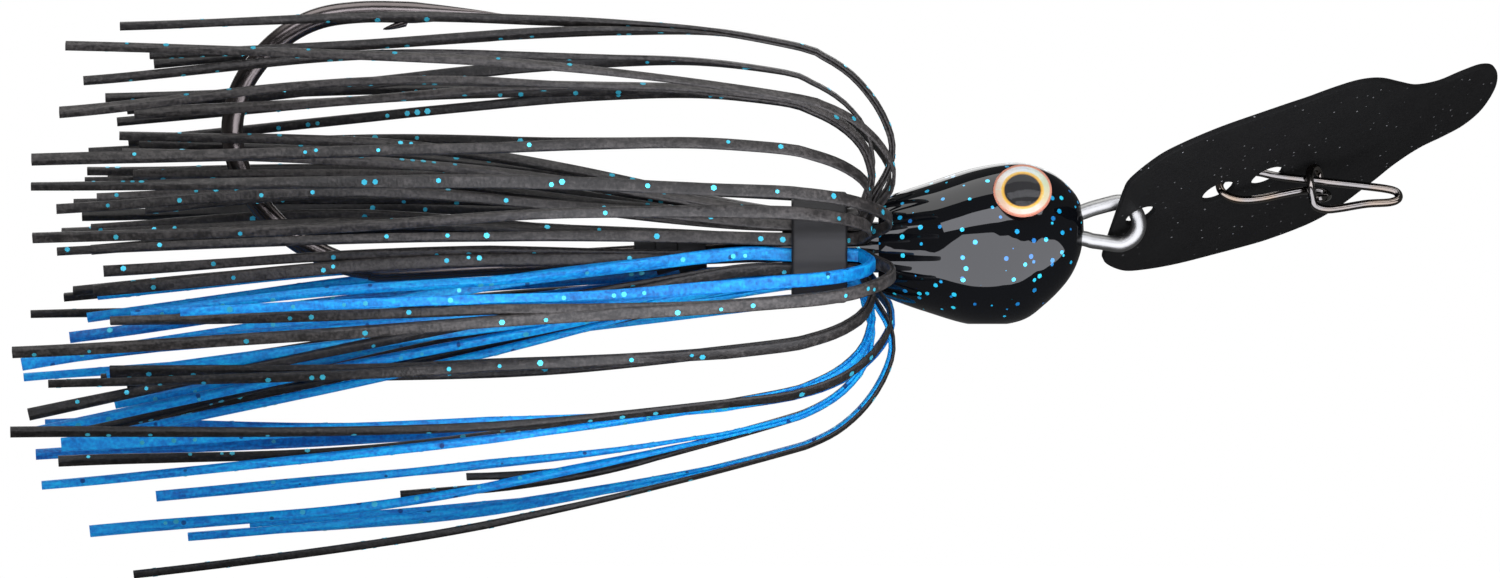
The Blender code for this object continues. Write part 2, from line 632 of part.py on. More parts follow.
def strand_rings(path, azimuth, twist):
    """Rectangles along the path. They lie flat to the collar and turn slowly along the free lengths."""
    out = radial(azimuth)
    across = Vector((1, 0, 0)).cross(out)
    free = freedom(path)
    rings = []
    middle = min(range(len(path)), key=lambda i: abs(path[i].x - COLLAR_X[0]) + 9 * (free[i] > 0))
    sides = {}
    for order in (range(middle, len(path)), range(middle, -1, -1)):
        wide = across.copy()
        turned_by = 0.0
        last = middle
        for i in order:
            ahead = path[min(i + 1, len(path) - 1)] - path[max(i - 1, 0)]
            ahead.normalize()
            wide = (wide - ahead * wide.dot(ahead)).normalized()
            turned_by += max(0.0, 5 * free[i] - 4) * twist * (path[i] - path[last]).length / 60
            last = i
            sides[i] = Matrix.Rotation(turned_by, 3, ahead) @ wide, ahead
    for i in kept_places(path):
        wide, ahead = sides[i]
        thin = ahead.cross(wide)
        a, b = wide * (STRAND_WIDE + 0.12 * free[i]) / 2, thin * STRAND_THICK / 2
        rings.append([path[i] + a + b, path[i] - a + b, path[i] - a - b, path[i] + a - b])
    return rings


def make_skirt(parts):
    plan = list(strand_plan())
    paths = settled([strand_path(ring, azimuth, front, rear) for ring, azimuth, front, rear, _ in plan])
    twists = np.random.default_rng(7).uniform(-1.3, 1.3, len(plan))
    for i, ((_, azimuth, _, _, colour), path, twist) in enumerate(zip(plan, paths, twists), 1):
        name = f"skirt_strand_{i:02d}"
        place(name, mesh_of(lofted(strand_rings(path, azimuth, twist)), name), colour, parts)
    low, high = COLLAR_X
    inner, outer = COLLAR_R
    edge = 0.25
    collar = ((low, inner), (high, inner), (high, outer - edge), (high - edge, outer),
              (low + edge, outer), (low, outer - edge))
    turned("skirt_collar", collar, 32, "collar_rubber", parts)


def make_trailer_keeper(parts):
    low, high = -SLEEVE_LONG / 2, SLEEVE_LONG / 2
    bore, outer = SLEEVE_R
    first, second = low + SLEEVE_BARB_STEP, low + 2 * SLEEVE_BARB_STEP
    profile = ((low, bore), (high, bore), (high, outer), (second, SLEEVE_BARB_R), (second - 0.05, outer),
               (first, SLEEVE_BARB_R), (first - 0.05, outer), (low, outer))
    sleeve = turned("trailer_keeper", profile, 20, "sleeve_black", parts)
    rise = (SHANK_FROM[1] - SHANK_TO[1]) / (SHANK_FROM[0] - SHANK_TO[0])
    sleeve.rotation_euler = (0, math.radians(90) - math.atan(rise), 0)
    sleeve.location = Vector((SLEEVE_X, 0, SHANK_FROM[1] + rise * (SLEEVE_X - SHANK_FROM[0]))) * MM


def make_collections():
    for obj in list(bpy.data.objects):
        bpy.data.objects.remove(obj)
    parts = bpy.data.collections.new(NAME)
    cutters = bpy.data.collections.new("cutters")
    for collection in (parts, cutters):
        bpy.context.scene.collection.children.link(collection)
    return parts, cutters


def main():
    parts, cutters = make_collections()
    make_head(parts, cutters)
    make_hook(parts, cutters)
    loop = wire_mesh("nose_loop", loop_path(), LOOP_WIRE / 2, 2)
    place("nose_loop", loop, "wire_steel", parts)
    make_clasp(parts, make_blade(parts))
    make_trailer_keeper(parts)
    make_skirt(parts)


main()
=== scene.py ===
"""The looks of the bladed swim jig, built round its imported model.

Lengths are in millimetres, and MM turns them into metres where a mesh is made. +X runs towards the
blade, +Z up, and the camera looks along +Y, at the lure's right side.
"""

import json
import math

import bmesh
import bpy
import numpy as np
from mathutils import Matrix, Vector

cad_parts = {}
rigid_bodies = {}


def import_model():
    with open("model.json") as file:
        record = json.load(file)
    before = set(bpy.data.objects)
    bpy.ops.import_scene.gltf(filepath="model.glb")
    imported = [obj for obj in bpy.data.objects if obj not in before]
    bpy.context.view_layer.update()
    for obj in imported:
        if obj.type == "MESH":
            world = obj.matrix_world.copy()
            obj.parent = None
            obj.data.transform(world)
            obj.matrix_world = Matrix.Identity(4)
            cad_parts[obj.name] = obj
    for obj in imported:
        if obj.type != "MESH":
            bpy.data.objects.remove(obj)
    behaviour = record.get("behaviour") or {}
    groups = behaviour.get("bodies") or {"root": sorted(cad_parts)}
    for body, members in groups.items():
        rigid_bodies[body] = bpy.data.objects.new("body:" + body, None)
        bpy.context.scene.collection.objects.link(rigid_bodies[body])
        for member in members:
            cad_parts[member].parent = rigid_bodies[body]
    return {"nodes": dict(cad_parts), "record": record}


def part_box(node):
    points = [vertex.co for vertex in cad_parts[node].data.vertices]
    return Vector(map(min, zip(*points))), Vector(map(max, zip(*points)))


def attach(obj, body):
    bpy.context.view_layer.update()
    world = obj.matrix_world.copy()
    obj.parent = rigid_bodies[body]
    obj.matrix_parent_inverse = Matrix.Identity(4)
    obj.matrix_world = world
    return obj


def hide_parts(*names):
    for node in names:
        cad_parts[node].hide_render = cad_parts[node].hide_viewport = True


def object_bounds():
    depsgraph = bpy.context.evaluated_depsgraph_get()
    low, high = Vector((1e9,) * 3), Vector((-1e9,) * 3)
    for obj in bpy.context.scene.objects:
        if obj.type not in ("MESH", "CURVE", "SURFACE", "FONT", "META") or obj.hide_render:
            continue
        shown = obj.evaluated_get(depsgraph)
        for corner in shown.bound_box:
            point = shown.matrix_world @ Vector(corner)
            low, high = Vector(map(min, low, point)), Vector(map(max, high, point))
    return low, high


for old in list(bpy.data.objects):
    bpy.data.objects.remove(old)

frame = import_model()
cad_low, cad_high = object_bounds()

MM = 0.001
JIG, BLADE, CLASP = "jig", "blade", "clasp"

SHANK_Z = 5.9
# The loop's and the clasp's wires are a little thinner than the frame's faceted ones, so that round
# ones keep clear of the blade
HOOK_WIRE, LOOP_WIRE, CLASP_WIRE = 1.7, 1.2, 0.63
STRANDS = sorted(name for name in frame["nodes"] if name.startswith("skirt_strand_"))
SLOTS = {row["node"]: row["material_slot"] for row in frame["record"]["subparts"]}

# Head: upper and lower outline points (x, z) and half width, from the rear face to the nose
HEAD_SECTIONS = (
    ((-8.2, 9.2), (-8.2, 2.5), 3.3),
    ((-7.5, 9.8), (-7.5, 2.0), 3.7),
    ((-4.6, 10.8), (-4.6, 0.95), 4.4),
    ((-0.8, 12.0), (-0.8, -0.08), 5.0),
    ((2.6, 12.4), (2.6, 0.2), 5.1),
    ((5.0, 11.7), (4.6, 1.5), 4.6),
    ((6.7, 10.3), (6.4, 3.4), 3.4),
    ((7.45, 8.9), (7.3, 5.3), 1.9),
    ((7.6, 7.2), (7.6, 7.2), 0.02),
)
HEAD_AROUND, HEAD_ALONG = 96, 80
TAIL_R, TAIL_FROM_X, TAIL_END_X = 1.95, -7.0, -15.6
EYE_AROUND, FOIL_ROWS, DOME_ROWS = 96, 24, 20
FOIL_THICK, DOME_BASE, DOME_HIGH = 0.18, 0.04, 0.75
SOCKET_GAP, SOCKET_DEEP, SOCKET_LONG = 0.05, 0.24, 5.0

# Hook, nose loop, blade and clasp
HOOK_EYE_X, HOOK_EYE_R = 0.6, 1.75
HOOK_EYE_FROM, HOOK_EYE_SWEEP, HOOK_EYE_STEPS = 155, 300, 28  # the ring's start and sweep in degrees
HOOK_BEND = (
    (-16.5, 5.85), (-44.0, 4.2), (-47.0, 4.25), (-49.6, 4.75), (-53.2, 6.6), (-56.0, 9.4), (-57.5, 12.4),
    (-57.9, 15.4), (-57.0, 18.6), (-54.6, 21.6), (-51.6, 23.4), (-48.0, 24.0), (-43.2, 23.95), (-37.0, 23.8),
)
HOOK_STEP, POINT_LENGTH = 0.5, 7.0
BARB_FROM, BARB_TO, BARB_R = (-44.3, 23.35), (-46.3, 22.55), 0.42
WIRE_AROUND = 28
LOOP_X, LOOP_Z, LOOP_R, LOOP_LEGS = 10.2, 7.75, 1.63, 1.65
LOOP_STEP = 0.2
WIRE_ANGLE, HOLE_AHEAD = 24, 0.2  # where on the loop the blade hangs, in degrees, and how far outside it
BLADE_ALONG = Vector((0.903, 0.331, 0.274)).normalized()
BLADE_ACROSS_HINT = Vector((0.16, -0.85, 0.50))
BLADE_HALF = (
    (-2.2, 4.2), (-1.9, 6.1), (0.0, 8.4), (2.0, 9.4), (5.0, 10.15), (8.5, 10.5), (12.0, 10.75), (15.0, 10.8),
    (17.2, 10.5), (19.2, 9.5), (21.4, 7.5), (23.2, 5.9), (25.4, 4.9), (27.6, 4.75), (29.5, 4.35), (30.9, 2.9),
)
BLADE_NOSE, BLADE_THICK, BLADE_EDGE = 31.5, 0.5, 0.11
TIP_HOLE_R, CLASP_HOLE_R, CLASP_HOLES = 1.22, 1.35, (6.7, 10.9)
OUTLINE_STEP, HOLE_AROUND = 0.4, 64
BENDS = ((12.5, 3.0), (22.0, 4.5))  # where along the blade it bends, and by how many degrees
BEND_LONG, BEND_CUTS = 1.0, 7
# Clasp wire in the blade's own directions: along the blade, across it, and out of its lower side
CLASP_PATH = (
    (13.45, 0.95, 3.65), (14.1, 0.6, 3.6), (14.75, -0.1, 3.2), (14.75, -0.45, 2.65), (14.1, -0.4, 2.3),
    (13.0, -0.1, 2.12), (11.4, 0.0, 1.98), (9.6, 0.0, 1.8), (8.2, 0.0, 1.45), (7.3, 0.0, 0.85),
    (6.95, 0.0, 0.1), (7.2, 0.0, -0.55), (8.1, 0.0, -0.95), (9.2, 0.0, -0.9), (10.4, 0.0, -0.42),
    (11.9, 0.0, 0.5), (15.0, 0.0, 2.0), (17.4, 0.0, 3.15), (19.3, 0.0, 4.1), (20.0, 0.0, 4.65),
    (19.9, 0.0, 5.2), (19.1, 0.0, 5.3), (17.3, 0.0, 4.85), (15.2, 0.0, 4.55), (14.1, 0.0, 4.3),
    (13.4, 0.1, 3.8), (13.38, 0.45, 3.1), (13.5, 0.75, 2.35), (13.75, 0.82, 1.55), (14.2, 0.6, 0.95),
    (14.8, 0.1, 0.68), (15.1, -0.5, 0.95), (15.05, -0.85, 1.75),
)
CLASP_STEP = 0.12

# Collar
COLLAR_WALL, COLLAR_EDGE, COLLAR_SWELL, COLLAR_AROUND = 0.92, 0.3, 0.035, 192
COLLAR_INSET = 0.05  # room inside the frame's collar for the rubber's bulges

# Skirt: how a strand is drawn round its frame centre line
CAP_REACH = 0.66  # a strand's end face has its corners nearer to its centre than this
TIPS_BEHIND = -30.0  # both ends of a strand lie behind this X
STRAND_STEP = 0.8
STRAND_THICK = 0.62
STRAND_WIDTHS = {"skirt_black": (0.58, 0.95), "skirt_blue": (0.66, 1.05)}
EDGE_ROUND = 0.16
SWAY = 0.55  # largest sideways wander of a free length
FREE_FROM, FREE_OVER = -20.0, 18.0  # a ribbon leaves its frame line behind this X, over this length
SWAY_KNOTS, WIDTH_KNOTS, SPIN_KNOTS = 7, 9, 5
WIDTH_WANDER, SPIN = 0.12, 1.1  # in millimetres and radians
FLAKE_R = (0.15, 0.25)
FLAKE_SUNK, FLAKE_PROUD = 0.02, 0.03
FLAKE_EVERY = 5.5  # mean distance between flakes along one side of a strand

TWIN_LIFT = 0.13  # the two ribbons of a strand lie this far each side of its middle in the collar
TWIN_FAN = (1.4, 4.2)  # how far apart they end
FAN_OVER = 50.0  # the length over which they part
FAN_TURN = 0.6  # they part at up to this share of a half turn from straight up
TWIN_EVERY = 3  # drawn as two ribbons: every blue strand, and black ones whose number divides by this
TWIN_TRIM = 9.0  # how much shorter the second may be at an end
HIGH_Z = 18.0  # the second ribbon of a strand that rises past this parts downwards

# Stage
FLOOR_R, FLOOR_GAP, FLOOR_FADE = 420, 1.0, (45, 150)
FILL, REFLECTED_FILL = 0.6, 0.12  # the world's strength for matt surfaces and in reflections
COOL = (0.95, 0.96, 1.03)  # the front lights' colour
LENS, SENSOR = 600.0, 36.0
VIEW_WIDE, VIEW_X, VIEW_Z = 115.4, -18.08, 2.69  # the width and the middle of the camera's view

WIRE_GRAIN, WIRE_STAIN = 0.25, 0.35
SILICONE_BLACKS = ((0.0035, 0.003, 0.003), (0.013, 0.0115, 0.011), (0.046, 0.0415, 0.040))
SILICONE_BLUES = ((0.0, 0.06, 0.26), (0.0, 0.235, 0.60), (0.002, 0.50, 0.82))

rng = np.random.default_rng(11)


# Materials


class Nodes:
    """A material's node tree, with short calls to add and join nodes."""

    def __init__(self, name):
        self.material = bpy.data.materials.new(name)
        self.material.use_nodes = True
        self.tree = self.material.node_tree
        self.shader = self.tree.nodes["Principled BSDF"]
        self.out = self.tree.nodes["Material Output"]
        self.place = self.add("ShaderNodeTexCoord").outputs["Object"]

    def add(self, kind, settings=None, **inputs):
        node = self.tree.nodes.new(kind)
        for key, value in (settings or {}).items():
            setattr(node, key, value)
        for key, value in inputs.items():
            self.put(node, key.replace("_", " "), value)
        return node

    def put(self, node, key, value):
        socket = node.inputs[int(key)] if key.isdigit() else node.inputs[key]
        if isinstance(value, bpy.types.NodeSocket):
            self.tree.links.new(value, socket)
        else:
            socket.default_value = value

    def set(self, **inputs):
        for key, value in inputs.items():
            self.put(self.shader, key.replace("_", " "), value)

    def noise(self, size, detail):
        """Noise whose features are about size millimetres across."""
        node = self.add("ShaderNodeTexNoise", Vector=self.place, Scale=1 / (size * MM), Detail=detail)
        return node.outputs[0]

    def ramp(self, value, *stops):
        node = self.add("ShaderNodeValToRGB", Fac=value)
        points = node.color_ramp.elements
        while len(points) < len(stops):
            points.new(0.5)
        for point, (at, colour) in zip(points, stops):
            point.position = at
            point.color = (*colour, 1.0)
        return node.outputs["Color"]

    def maths(self, operation, *values):
        node = self.add("ShaderNodeMath", {"operation": operation})
        for i, value in enumerate(values):
            self.put(node, str(i), value)
        return node.outputs[0]

    def mix(self, factor, a, b):
        node = self.add("ShaderNodeMix", {"data_type": "RGBA"}, Factor=factor)
        for socket, value in ((node.inputs[6], a), (node.inputs[7], b)):
            if isinstance(value, bpy.types.NodeSocket):
                self.tree.links.new(value, socket)
            else:
                socket.default_value = (*value, 1.0)
        return node.outputs[2]

    def bump(self, height, depth, strength=1.0):
        """A bump whose full height is depth millimetres."""
        node = self.add("ShaderNodeBump", Height=height, Distance=depth * MM, Strength=strength)
        self.put(self.shader, "Normal", node.outputs[0])

    def spots(self, cell, radius, share):
        """Round spots in a share of cells of this size: 1 inside and 0 outside, and the cell's own value."""
        cells = self.add("ShaderNodeTexVoronoi", Vector=self.place, Scale=1 / (cell * MM), Randomness=1.0)
        inside = self.maths("LESS_THAN", cells.outputs["Distance"], radius / cell)
        pick = self.add("ShaderNodeSeparateColor", Color=cells.outputs["Color"])
        chosen = self.maths("LESS_THAN", pick.outputs[0], share)
        return self.maths("MULTIPLY", inside, chosen), pick.outputs[1]

    def surface(self, share, first, second):
        """Makes the material a mix of two shaders' outputs."""
        both = self.add("ShaderNodeMixShader", Fac=share)
        self.tree.links.new(first, both.inputs[1])
        self.tree.links.new(second, both.inputs[2])
        self.tree.links.new(both.outputs[0], self.out.inputs["Surface"])


def lacquer():
    """Gloss black over lead, with round blue flakes under the clear coat."""
    n = Nodes("head_lacquer")
    spot, tone = n.spots(0.92, 0.19, 0.85)
    flake = n.ramp(tone, (0.0, (0.0, 0.08, 0.30)), (0.5, (0.0, 0.27, 0.52)), (1.0, (0.02, 0.52, 0.68)))
    n.set(Base_Color=n.mix(spot, (0.0012, 0.0014, 0.002), flake), Roughness=0.3)
    n.set(Coat_Weight=1.0, Coat_Roughness=0.02)
    n.set(Specular_IOR_Level=n.maths("MULTIPLY", spot, 0.5), Metallic=n.maths("MULTIPLY", spot, 0.4))
    n.bump(n.noise(3.2, 2.0), 0.03, 0.35)
    return n.material


def metal(name, colour, roughness, tint=None):
    """Plated or bare wire: drawn grain, patches a little darker and duller, and perhaps tinted ones."""
    n = Nodes(name)
    patches = n.noise(1.8, 4.0)
    dark = tuple(c * (1 - WIRE_STAIN) for c in colour)
    shade = n.mix(patches, dark, colour)
    if tint:
        tinted = n.ramp(n.noise(2.8, 1.0), (0.45, (0, 0, 0)), (0.7, (0.8, 0.8, 0.8)))
        shade = n.mix(tinted, shade, tint)
    n.set(Base_Color=shade, Metallic=1.0)
    n.set(Roughness=n.maths("MULTIPLY_ADD", patches, roughness * 0.6, roughness * 0.7))
    n.bump(n.noise(WIRE_GRAIN, 2.0), 0.012, 0.4)
    return n.material


def blade_coat():
    """Satin black coating with a fine texture and pale dust-like speckle."""
    n = Nodes("blade_coat")
    spot, tone = n.spots(0.62, 0.075, 0.5)
    base = n.mix(n.noise(2.5, 4.0), (0.0022, 0.0022, 0.0024), (0.0062, 0.0062, 0.0064))
    base = n.mix(n.noise(0.22, 2.0), base, (0.0085, 0.0085, 0.0085))
    n.set(Base_Color=n.mix(n.maths("MULTIPLY", spot, tone), base, (0.12, 0.12, 0.125)), Metallic=0.0)
    n.set(Roughness=0.4, Specular_IOR_Level=0.012)
    n.bump(n.noise(0.16, 3.0), 0.02, 0.4)
    return n.material


def silicone(name, tones, fleck, glow=None, see_through=0.0):
    """A skirt strand between three tones, with dark flecks and perhaps light let through in a glow colour.

    Its UV map runs round its section in U and along it in V.
    """
    n = Nodes(name)
    along = n.add("ShaderNodeUVMap", {"uv_map": "strand"}).outputs[0]
    streak = n.add("ShaderNodeMapping", Vector=along, Scale=(5.0, 0.35, 1.0))
    lines = n.add("ShaderNodeTexNoise", Vector=streak.outputs[0], Scale=2.0, Detail=4.0).outputs[0]
    grain = n.noise(0.26, 2.0)
    own = n.add("ShaderNodeObjectInfo").outputs["Random"]
    level = n.maths("ADD", n.maths("MULTIPLY", own, 0.45), n.maths("MULTIPLY", n.noise(9.0, 2.0), 0.55))
    texture = n.maths("ADD", lines, grain)
    level = n.maths("ADD", level, n.maths("MULTIPLY", n.maths("SUBTRACT", texture, 1.0), 1.1))
    dark, middle, light = tones
    tone = n.ramp(level, (0.1, dark), (0.5, middle), (0.95, light))
    spot, _ = n.spots(1.1, 0.2, 0.28)
    colour = n.mix(n.maths("MULTIPLY", spot, fleck), tone, tuple(c * 0.18 for c in dark))
    n.set(Base_Color=colour, Roughness=0.46, Specular_IOR_Level=0.38)
    n.bump(texture, 0.07, 0.6)
    if glow:
        through = n.add("ShaderNodeBsdfTranslucent", Color=(*glow, 1.0))
        n.surface(see_through, n.shader.outputs[0], through.outputs[0])
    return n.material


def flake_foil():
    n = Nodes("flake_foil")
    n.set(Base_Color=n.mix(n.noise(1.5, 1.0), (0.01, 0.30, 0.50), (0.10, 0.66, 0.80)))
    n.set(Metallic=0.55, Roughness=0.28)
    return n.material


def moulded(name, colour, roughness, grain):
    n = Nodes(name)
    light = tuple(c * 1.9 for c in colour)
    n.set(Base_Color=n.mix(n.noise(2.2, 4.0), colour, light), Roughness=roughness, Specular_IOR_Level=0.4)
    n.bump(n.noise(grain, 3.0), 0.03, 0.4)
    return n.material


def foil_print():
    """Rings by distance from the middle, the UV map's U: pupil, gold, silver with painted iridescent
    reflections, and pink rim.
    """
    n = Nodes("eye_print")
    at = n.add("ShaderNodeSeparateXYZ", Vector=n.add("ShaderNodeUVMap", {"uv_map": "eye"}).outputs[0])
    across, around = at.outputs[0], at.outputs[1]
    # Painted reflections: the silver ring's rainbow colours are fixed round the eye as they fall from one
    # view, and noise mixes them with plain silver
    painted_iridescence = n.ramp(around, (0.0, (0.66, 0.36, 0.14)), (0.16, (0.70, 0.34, 0.16)), (0.32, (0.72, 0.52, 0.42)),
                   (0.46, (0.60, 0.52, 0.16)), (0.6, (0.36, 0.58, 0.34)), (0.74, (0.52, 0.62, 0.74)),
                   (0.88, (0.74, 0.72, 0.70)), (1.0, (0.66, 0.36, 0.14)))
    shade = n.mix(n.noise(0.9, 2.0), painted_iridescence, (0.70, 0.68, 0.62))
    rings = n.ramp(across, (0.0, (0.003, 0.003, 0.004)), (0.61, (0.003, 0.003, 0.004)),
                   (0.645, (0.52, 0.26, 0.02)), (0.72, (0.62, 0.42, 0.10)), (0.78, (0.6, 0.6, 0.55)),
                   (0.90, (0.6, 0.6, 0.55)), (0.94, (0.62, 0.28, 0.18)), (1.0, (0.42, 0.15, 0.10)))
    inner, outer = n.maths("GREATER_THAN", across, 0.73), n.maths("LESS_THAN", across, 0.925)
    silver = n.maths("MULTIPLY", inner, outer)
    n.set(Base_Color=n.mix(n.maths("MULTIPLY", silver, 0.92), rings, shade))
    n.set(Metallic=n.maths("MULTIPLY", silver, 0.3), Roughness=0.3)
    return n.material


def clear_resin():
    """Clear, with a mirror's sheen that grows towards the dome's edge."""
    n = Nodes("eye_resin")
    clear = n.add("ShaderNodeBsdfTransparent")
    gloss = n.add("ShaderNodeBsdfGlossy", Roughness=0.02)
    edge = n.add("ShaderNodeFresnel", IOR=1.3)
    n.surface(edge.outputs[0], clear.outputs[0], gloss.outputs[0])
    return n.material


def make_materials():
    return {
        "head_paint": lacquer(),
        "hook_nickel": metal("hook_plating", (0.165, 0.145, 0.142), 0.24),
        "wire_steel": metal("loop_steel", (0.36, 0.36, 0.355), 0.36),
        "clasp_nickel": metal("clasp_plating", (0.19, 0.18, 0.175), 0.09, tint=(0.21, 0.15, 0.10)),
        "blade_black": blade_coat(),
        "collar_rubber": moulded("collar_rubber", (0.0045, 0.0043, 0.005), 0.5, 0.5),
        "keeper_sleeve": moulded("keeper_plastic", (0.015, 0.015, 0.016), 0.5, 0.3),
        "eye_foil": foil_print(),
        "eye_lens": clear_resin(),
        "skirt_black": silicone("silicone_black", SILICONE_BLACKS, 0.6),
        "skirt_blue": silicone("silicone_blue", SILICONE_BLUES, 0.9, (0.0, 0.42, 0.90), 0.34),
        "flake": flake_foil(),
    }


# Meshes


def turns(count):
    return [2 * math.pi * k / count for k in range(count)]


def smooth_path(points, step):
    """Points about a step apart along a Catmull-Rom curve through the given ones."""
    points = [Vector(p) for p in points]
    ends = [2 * points[0] - points[1], *points, 2 * points[-1] - points[-2]]
    path = []
    for before, a, b, after in zip(ends, ends[1:], ends[2:], ends[3:]):
        spans = max(1, round((b - a).length / step))
        for i in range(spans):
            t = i / spans
            pull = -before + 3 * a - 3 * b + after
            bow = 2 * before - 5 * a + 4 * b - after
            path.append(0.5 * (2 * a + (b - before) * t + bow * t * t + pull * t**3))
    path.append(points[-1])
    return path


def at_share(line, share):
    """The point at a share of a row of points, between its neighbours."""
    place = share * (len(line) - 1)
    i = min(int(place), len(line) - 2)
    return line[i].lerp(line[i + 1], place - i)


def lofted(rings, tip=None):
    """A closed bmesh in millimetres over rings of equal length."""
    bm = bmesh.new()
    rows = [[bm.verts.new(point) for point in ring] for ring in rings]
    around = len(rows[0])
    for near, far in zip(rows, rows[1:]):
        for i in range(around):
            j = (i + 1) % around
            bm.faces.new((near[i], near[j], far[j], far[i]))
    bm.faces.new(rows[0])
    if tip is None:
        bm.faces.new(rows[-1])
    else:
        end = bm.verts.new(tip)
        for i in range(around):
            bm.faces.new((rows[-1][i], rows[-1][(i + 1) % around], end))
    return bm


def finished(obj, material, body, node, sharp):
    """Gives an object its material, its smooth shading with sharp edges, and its place in the frame."""
    if material:
        obj.data.materials.append(material)
    obj.data.shade_smooth()
    obj.data.set_sharp_from_angle(angle=math.radians(sharp))
    if body:
        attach(obj, body)
    if node:
        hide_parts(node)
    return obj


def piece(name, bm, material=None, body=None, node=None, sharp=40):
    """An object made of a bmesh in millimetres, which replaces a CAD node if one is named."""
    bmesh.ops.recalc_face_normals(bm, faces=bm.faces)
    bmesh.ops.scale(bm, vec=(MM, MM, MM), verts=bm.verts)
    mesh = bpy.data.meshes.new(name)
    bm.to_mesh(mesh)
    bm.free()
    obj = bpy.data.objects.new(name, mesh)
    bpy.context.scene.collection.objects.link(obj)
    return finished(obj, material, body, node, sharp)


def swept(path, radii, around):
    """A round wire whose section is carried along the path without twisting."""
    rings = []
    side = Vector((0.31, 0.87, 0.38))  # no wire starts in this direction
    for i, point in enumerate(path):
        ahead = (path[min(i + 1, len(path) - 1)] - path[max(i - 1, 0)]).normalized()
        side = (side - ahead * side.dot(ahead)).normalized()
        up = ahead.cross(side)
        rings.append([point + radii[i] * (side * math.cos(a) + up * math.sin(a)) for a in turns(around)])
    return lofted(rings)


def rounded_ends(count, radius, step):
    """Wire radii that close in a round at both ends."""
    radii = []
    for i in range(count):
        inwards = min(i, count - 1 - i) * step
        short = max(0.0, radius * 0.8 - inwards)
        radii.append(max(0.12 * radius, math.sqrt(max(0.0, radius**2 - short**2))))
    return radii


def turned(profile, segments, tilt=0.0, centre=(0, 0, SHANK_Z), swell=None):
    """A ring turned about the X axis from (x, radius) points, tilted about Y and moved to its centre."""
    bm = bmesh.new()
    rows = []
    for a in turns(segments):
        grow = swell(a) if swell else 0.0
        row = [(x, (r + grow) * math.cos(a), (r + grow) * math.sin(a)) for x, r in profile]
        rows.append([bm.verts.new(point) for point in row])
    for k in range(segments):
        near, far = rows[k], rows[(k + 1) % segments]
        for i in range(len(profile)):
            j = (i + 1) % len(profile)
            bm.faces.new((near[i], near[j], far[j], far[i]))
    place = Matrix.Translation(centre) @ Matrix.Rotation(tilt, 4, "Y")
    bmesh.ops.transform(bm, matrix=place, verts=bm.verts)
    return bm


def rod(radius, long, segments, place):
    """A cylinder along its own Z."""
    bm = bmesh.new()
    bmesh.ops.create_cone(bm, cap_ends=True, segments=segments, radius1=radius, radius2=radius, depth=long,
                          matrix=place)
    return bm


def cut(obj, other, operation="DIFFERENCE"):
    """Applies a Boolean and removes the other object, so the first needs finishing again."""
    modifier = obj.modifiers.new("cut", "BOOLEAN")
    modifier.operation = operation
    modifier.object = other
    bpy.context.view_layer.update()
    result = bpy.data.meshes.new_from_object(obj.evaluated_get(bpy.context.evaluated_depsgraph_get()))
    obj.modifiers.clear()
    obj.data = result
    bpy.data.objects.remove(other)


# Head and eyes


def head_rings():
    upper = smooth_path([(x, 0, z) for (x, z), _, _ in HEAD_SECTIONS], 0.2)
    lower = smooth_path([(x, 0, z) for _, (x, z), _ in HEAD_SECTIONS], 0.2)
    # the half widths stand in Z here, over the section's number in X
    wide = smooth_path([(i, 0, half) for i, (_, _, half) in enumerate(HEAD_SECTIONS)], 0.02)
    rings = []
    for k in range(HEAD_ALONG):
        share = math.sin(math.pi / 2 * k / HEAD_ALONG)
        top, low, half = (at_share(line, share) for line in (upper, lower, wide))
        middle, up = (top + low) / 2, (top - low) / 2
        side = Vector((0, half.z, 0))
        rings.append([middle + up * math.sin(a) + side * math.cos(a) for a in turns(HEAD_AROUND)])
    return rings


def eye_axes(side):
    """The eye's axes and radius, read from its CAD foil: Z points out of the head, from the foil's top."""
    points = np.array([v.co for v in frame["nodes"][side + "_eye_foil"].data.vertices]) / MM
    points = np.unique(points.round(4), axis=0)
    centre = points.mean(axis=0)
    normal = Vector(np.linalg.svd(points - centre)[2][2])
    outwards = Vector((0, centre[1], 0))
    normal = normal if normal.dot(outwards) > 0 else -normal
    across = Vector((1, 0, 0)).cross(normal).normalized()
    axes = Matrix((across.cross(normal), across, normal)).transposed().to_4x4()
    top = max((Vector(p) - Vector(centre)).dot(normal) for p in points)
    radius = max((Vector(p) - Vector(centre)).cross(normal).length for p in points)
    axes.translation = Vector(centre) + normal * top
    return axes, radius


def foil_disc(radius):
    """A round plate whose UV map runs out from the middle in U and round it in V."""
    bm = bmesh.new()
    uv = bm.loops.layers.uv.new("eye")
    middle = bm.verts.new((0, 0, 0))
    rings = []
    for row in range(1, FOIL_ROWS + 1):
        r = radius * row / FOIL_ROWS
        rings.append([bm.verts.new((r * math.cos(a), r * math.sin(a), 0)) for a in turns(EYE_AROUND)])
    under = [bm.verts.new((v.co.x, v.co.y, -FOIL_THICK)) for v in rings[-1]]
    for k in range(EYE_AROUND):
        j = (k + 1) % EYE_AROUND
        bm.faces.new((middle, rings[0][k], rings[0][j]))
        for near, far in zip(rings, rings[1:]):
            bm.faces.new((near[k], far[k], far[j], near[j]))
        bm.faces.new((rings[-1][k], under[k], under[j], rings[-1][j]))
    bm.faces.new(under[::-1])
    for face in bm.faces:
        for loop in face.loops:
            x, y = loop.vert.co.x, loop.vert.co.y
            turn = math.atan2(y, x) if loop.vert is not middle else 0.0
            loop[uv].uv = (min(0.999, math.hypot(x, y) / radius), turn / (2 * math.pi) % 1.0)
    return bm


